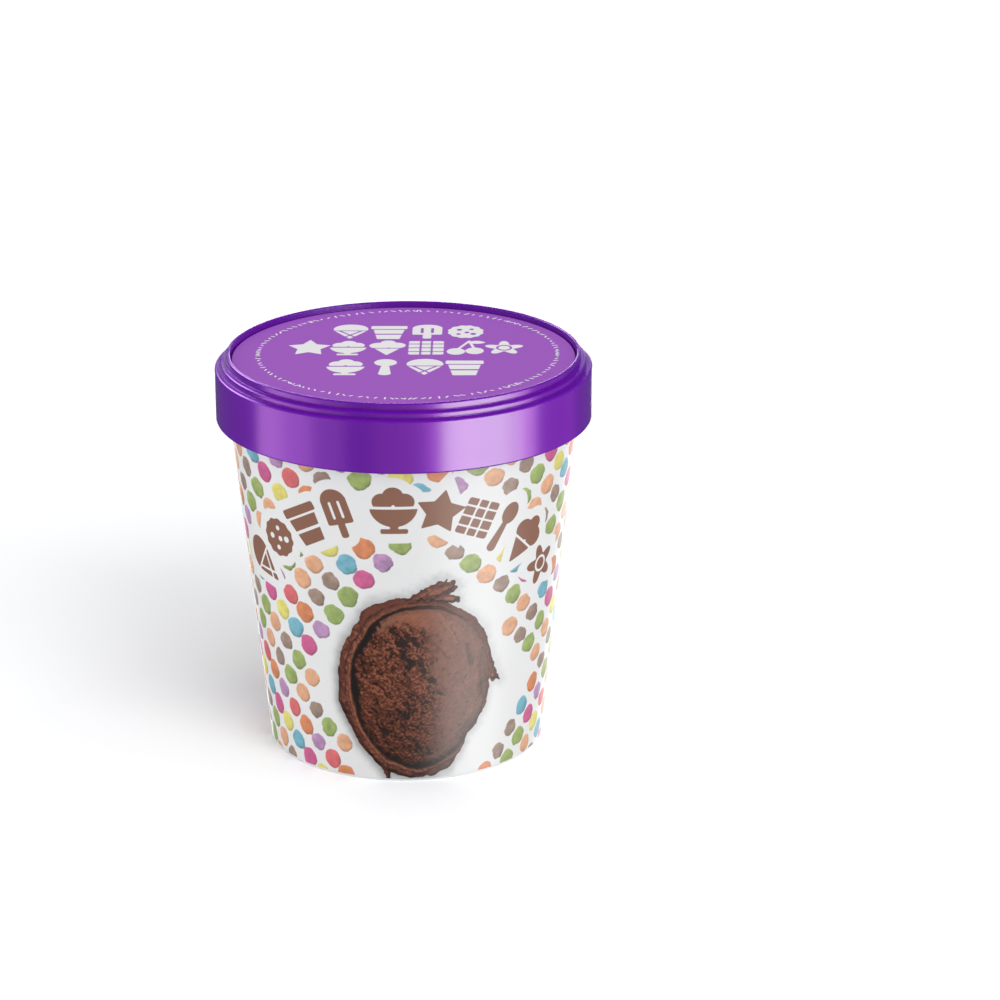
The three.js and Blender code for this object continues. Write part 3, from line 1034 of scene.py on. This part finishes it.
label_edge = softened(
    [
        (0, LABEL_BOTTOM, 0),
        (LABEL_RADIUS, LABEL_BOTTOM, 0.08),
        (LABEL_RADIUS, LABEL_BOTTOM + LABEL_THICKNESS, 0.12),
        (PRINT_REACH, LABEL_BOTTOM + LABEL_THICKNESS, 0),
    ],
    steps=3,
)
label_top = LABEL_BOTTOM + LABEL_THICKNESS
print_rings = np.arange(PRINT_REACH - PRINT_RING, 0, -PRINT_RING)
label_face = np.stack([print_rings, np.full(len(print_rings), label_top)], -1)
label_profile = np.concatenate([label_edge, label_face, [(0, label_top)]])
label_angles = np.arange(LABEL_COLUMNS) * 360 / LABEL_COLUMNS
label = turned("printed_lid_label", label_profile[:, 0], label_profile[:, 1], label_angles)

# Each row's height above the middle, and its treats with their scales across and along.
LABEL_ROWS = (
    (22.0, ((cornet, 1.38, 1.27), (little_tub, 1.20, 1.50), (ice_pop, 1.55, 1.27), (biscuit, 1.14, 1.40))),
    (
        7.0,
        (
            (star, 1.18, 1.45),
            (sundae, 1.05, 1.24),
            (double_cornet, 1.32, 1.27),
            (wafer, 1.30, 1.50),
            (cherries, 1.16, 1.40),
            (blossom, 1.20, 1.42),
        ),
    ),
    (-10.2, ((sundae, 1.08, 1.32), (spoon, 1.75, 1.32), (cornet, 1.42, 1.34), (little_tub, 1.22, 1.58))),
)
LABEL_PITCH = 10.4
LABEL_SHIFT = 0.6
label_treats = [
    (shape, ((n - (len(row) - 1) / 2) * LABEL_PITCH + LABEL_SHIFT, level), 0, (wide, high))
    for level, row in LABEL_ROWS
    for n, (shape, wide, high) in enumerate(row)
]
label_x = label_profile[1:-1, :1] * np.sin(np.radians(label_angles))
label_y = -label_profile[1:-1, :1] * np.cos(np.radians(label_angles))
carry(label, {"treat_edge": treats(label_x, label_y, label_treats)}, {})

label_paper, label_tree, label_shader = new_material("printed_label_paper")
label_mask = ink_mask(label_tree, stored(label_tree, "treat_edge"), LABEL_SOFT, LABEL_RAGGED)
label_inks = mixed(label_tree, label_mask, LABEL_PURPLE, LABEL_WHITE)
label_fibre = use_group(
    label_tree, fibre, {"Fineness": 1500.0, "Tint": 0.05, "Gloss": 0.06, "Depth": 0.06}
)
dress(label_tree, label_shader, label_fibre, label_inks, LABEL_ROUGHNESS)
label_shader.inputs["Specular IOR Level"].default_value = LABEL_SPECULAR
label.data.materials.append(label_paper)
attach(label, "root")
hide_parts("lid_label")

STRAND_RING = 39.75
STRAND_MIDDLE = (1.0, 2.3)
STRAND_GROUPS, STRANDS_EACH = 8, 17
STRAND_PITCH = 2.15
STRAND_LONG, STRAND_WIDE, STRAND_HIGH = (1.1, 1.9), 0.50, 0.04
STRAND_SCATTER, STRAND_TILT = 0.3, 2.2
STRAND_CORNERS = 8


def sugar_strands():
    """Flat rods with round ends: each is an outline of eight points, below and above, set round the
    ring at even steps in each group, with a random length and tilt."""
    luck = np.random.default_rng(12).random((STRAND_GROUPS, STRANDS_EACH, 3))
    step = STRAND_PITCH / STRAND_RING
    place = np.arange(STRANDS_EACH) - (STRANDS_EACH - 1) / 2 + STRAND_SCATTER * (luck[..., 0] - 0.5)
    group_bearing = (np.arange(STRAND_GROUPS)[:, None] + 0.5) * 2 * np.pi / STRAND_GROUPS
    bearing = (group_bearing + place * step).ravel()
    tilt = bearing + ((luck[..., 1] - 0.5) * STRAND_TILT).ravel()
    half = (STRAND_LONG[0] + (STRAND_LONG[1] - STRAND_LONG[0]) * luck[..., 2].ravel()) / 2
    corner = (np.arange(STRAND_CORNERS) + 0.5) * 2 * np.pi / STRAND_CORNERS
    end_radius = STRAND_WIDE / 2
    along = np.sign(np.cos(corner)) * (half[:, None] - end_radius) + end_radius * np.cos(corner)
    across = end_radius * np.sin(corner) + 0 * along
    sin_tilt, cos_tilt = np.sin(tilt)[:, None], np.cos(tilt)[:, None]
    x = STRAND_MIDDLE[0] + STRAND_RING * np.sin(bearing)[:, None] + along * sin_tilt + across * cos_tilt
    y = STRAND_MIDDLE[1] - STRAND_RING * np.cos(bearing)[:, None] - along * cos_tilt + across * sin_tilt
    low = np.stack([x, y, np.full(x.shape, label_top - STRAND_HIGH / 2)], -1)
    high = np.stack([x, y, np.full(x.shape, label_top + STRAND_HIGH / 2)], -1)
    count = len(bearing)
    number = np.arange(count * STRAND_CORNERS).reshape(count, STRAND_CORNERS)
    above = number + count * STRAND_CORNERS
    next_low, next_high = np.roll(number, -1, 1), np.roll(above, -1, 1)
    faces = above.tolist() + number[:, ::-1].tolist()
    faces += np.stack([number, next_low, next_high, above], -1).reshape(-1, 4).tolist()
    return np.concatenate([low.reshape(-1, 3), high.reshape(-1, 3)]), faces


strand_points, strand_faces = sugar_strands()
strands = put_mesh("printed_sugar_strands", strand_points, strand_faces, smooth_faces=0)
white_ink, ink_tree, white_shader = new_material("white_label_ink")
ink_fibre = use_group(ink_tree, fibre, {"Fineness": 2400.0, "Tint": 0.12, "Gloss": 0.06, "Depth": 0.06})
dress(ink_tree, white_shader, ink_fibre, LABEL_WHITE[:3], LABEL_ROUGHNESS, uneven=False)
strands.data.materials.append(white_ink)
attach(strands, "root")

# The studio: an even white surround, broad suns for the floor's soft shadow, fills for the board, a
# high key for the lid, and softboxes that only show in the gloss of the pieces they are linked to.
# They reach below the floor's level, because an upright wall seen from above mirrors what lies low.
SURROUND = 0.68
SURROUND_GLOSS = 0.12
TUB_MIDDLE = 54.0
LIGHT_DISTANCE = 1000.0
WHITE = (1, 1, 1)

world = bpy.data.worlds.new("white_studio")
bpy.context.scene.world = world
world.use_nodes = True
world.cycles.sampling_method = "NONE"
surround = world.node_tree.nodes["Background"]
surround.inputs["Color"].default_value = (1, 1, 1, 1)
ray = put_node(world.node_tree, "LightPath", {}).outputs["Is Glossy Ray"]
strength = put_node(world.node_tree, "Mix", {"Factor": ray, "A": SURROUND, "B": SURROUND_GLOSS})
world.node_tree.links.new(strength.outputs["Result"], surround.inputs["Strength"])

printed = [cup, *films]
topping = [lid, label, strands]


def shine_on(light, pieces, glossy):
    """Links a light to the pieces it reaches, in their gloss alone or in their diffuse colour alone."""
    receivers = bpy.data.collections.new(light.name + "_receivers")
    for piece in pieces:
        receivers.objects.link(piece)
    light.light_linking.receiver_collection = receivers
    light.visible_camera = False
    light.visible_glossy = glossy
    light.visible_diffuse = not glossy
    bpy.context.collection.objects.link(light)


def sun(name, azimuth, elevation, spread, strength, pieces):
    """Parallel light from an azimuth and an elevation, blurred over a spread, all in degrees."""
    light = bpy.data.lights.new(name, "SUN")
    light.energy = strength
    light.angle = math.radians(spread)
    beam = bpy.data.objects.new(name, light)
    beam.rotation_euler = (math.radians(90 - elevation), 0, math.radians(azimuth))
    shine_on(beam, pieces, glossy=False)


def softbox(name, azimuth, elevation, wide, high, radiance, tint, pieces, glossy=True):
    """A lit rectangle facing the middle of the tub, seen from azimuth 0 at the front, positive to the
    right, with its size given in degrees.

    An area light of power P and area A shines with a radiance of P / (pi A).
    """
    light = bpy.data.lights.new(name, "AREA")
    light.shape = "RECTANGLE"
    light.size = 2 * LIGHT_DISTANCE * math.tan(math.radians(wide / 2)) * MM
    light.size_y = 2 * LIGHT_DISTANCE * math.tan(math.radians(high / 2)) * MM
    light.energy = radiance * math.pi * light.size * light.size_y
    light.color = tint
    box = bpy.data.objects.new(name, light)
    turn, rise = math.radians(azimuth), math.radians(elevation)
    box.location = (
        LIGHT_DISTANCE * MM * math.sin(turn) * math.cos(rise),
        -LIGHT_DISTANCE * MM * math.cos(turn) * math.cos(rise),
        (TUB_MIDDLE + LIGHT_DISTANCE * math.sin(rise)) * MM,
    )
    box.rotation_euler = (math.radians(90) - rise, 0, turn)
    shine_on(box, pieces, glossy)


sun("floor_low_sun", 30, 24, 50, 2.3, [floor])
sun("floor_side_sun", 65, 32, 75, 1.2, [floor])
sun("lid_key", 63, 68, 20, 1.7, topping)

# Each fill's azimuth, elevation, width, height and radiance, and the pieces it reaches.
FILLS = (
    ("left_back_fill", -105, 15, 36, 30, 1.3, printed),
    ("left_fill", -60, 15, 36, 30, 1.3, printed),
    ("right_fill", 60, 10, 36, 30, 1.5, printed),
    ("right_back_fill", 110, 15, 36, 30, 1.7, printed),
    ("lid_left_fill", -80, 20, 40, 40, 0.5, topping),
)
for name, azimuth, elevation, wide, high, radiance, pieces in FILLS:
    softbox(name, azimuth, elevation, wide, high, radiance, WHITE, pieces, glossy=False)

# Each lid softbox's azimuth, elevation, width, height, radiance and tint.
LID_BOXES = (
    ("right_softbox", 50, -10, 50, 44, 8.6, (1, 0.80, 0.76)),
    ("right_softbox_core", 45, -10, 40, 44, 4.0, (1, 1, 0.80)),
    ("right_softbox_edge", 35, -10, 20, 44, 1.8, (1, 0.37, 0.86)),
    ("right_near_rim", 20, -10, 10, 44, 2.6, (1, 0.05, 1.30)),
    ("right_far_rim", 80, -10, 12, 44, 6.5, (1, 0.47, 0.88)),
    ("right_glow", 95, -10, 60, 44, 0.7, (1, 0.15, 1.25)),
    ("middle_glow", 5, -10, 40, 44, 0.9, (1, 0.25, 0.60)),
    ("left_softbox", -75, -10, 40, 44, 2.3, (1, 0.42, 1.05)),
    ("left_softbox_core", -85, -10, 20, 44, 1.0, (1, 0.62, 0.92)),
    ("left_glow", -65, -10, 60, 44, 1.6, (1, 0.40, 0.92)),
    ("upper_left_strip", -133, 31, 56, 14, 14.0, (0.75, 0.40, 1)),
    ("back_softbox", 180, -10, 24, 44, 7.0, (1, 0.85, 0.95)),
)
for name, azimuth, elevation, wide, high, radiance, tint in LID_BOXES:
    softbox(name, azimuth, elevation, wide, high, radiance, tint, [lid])
softbox("low_right_softbox", 54, -36, 46, 20, 7.6, WHITE, printed)
softbox("low_back_softbox", 175, -30, 50, 30, 5.0, WHITE, printed)
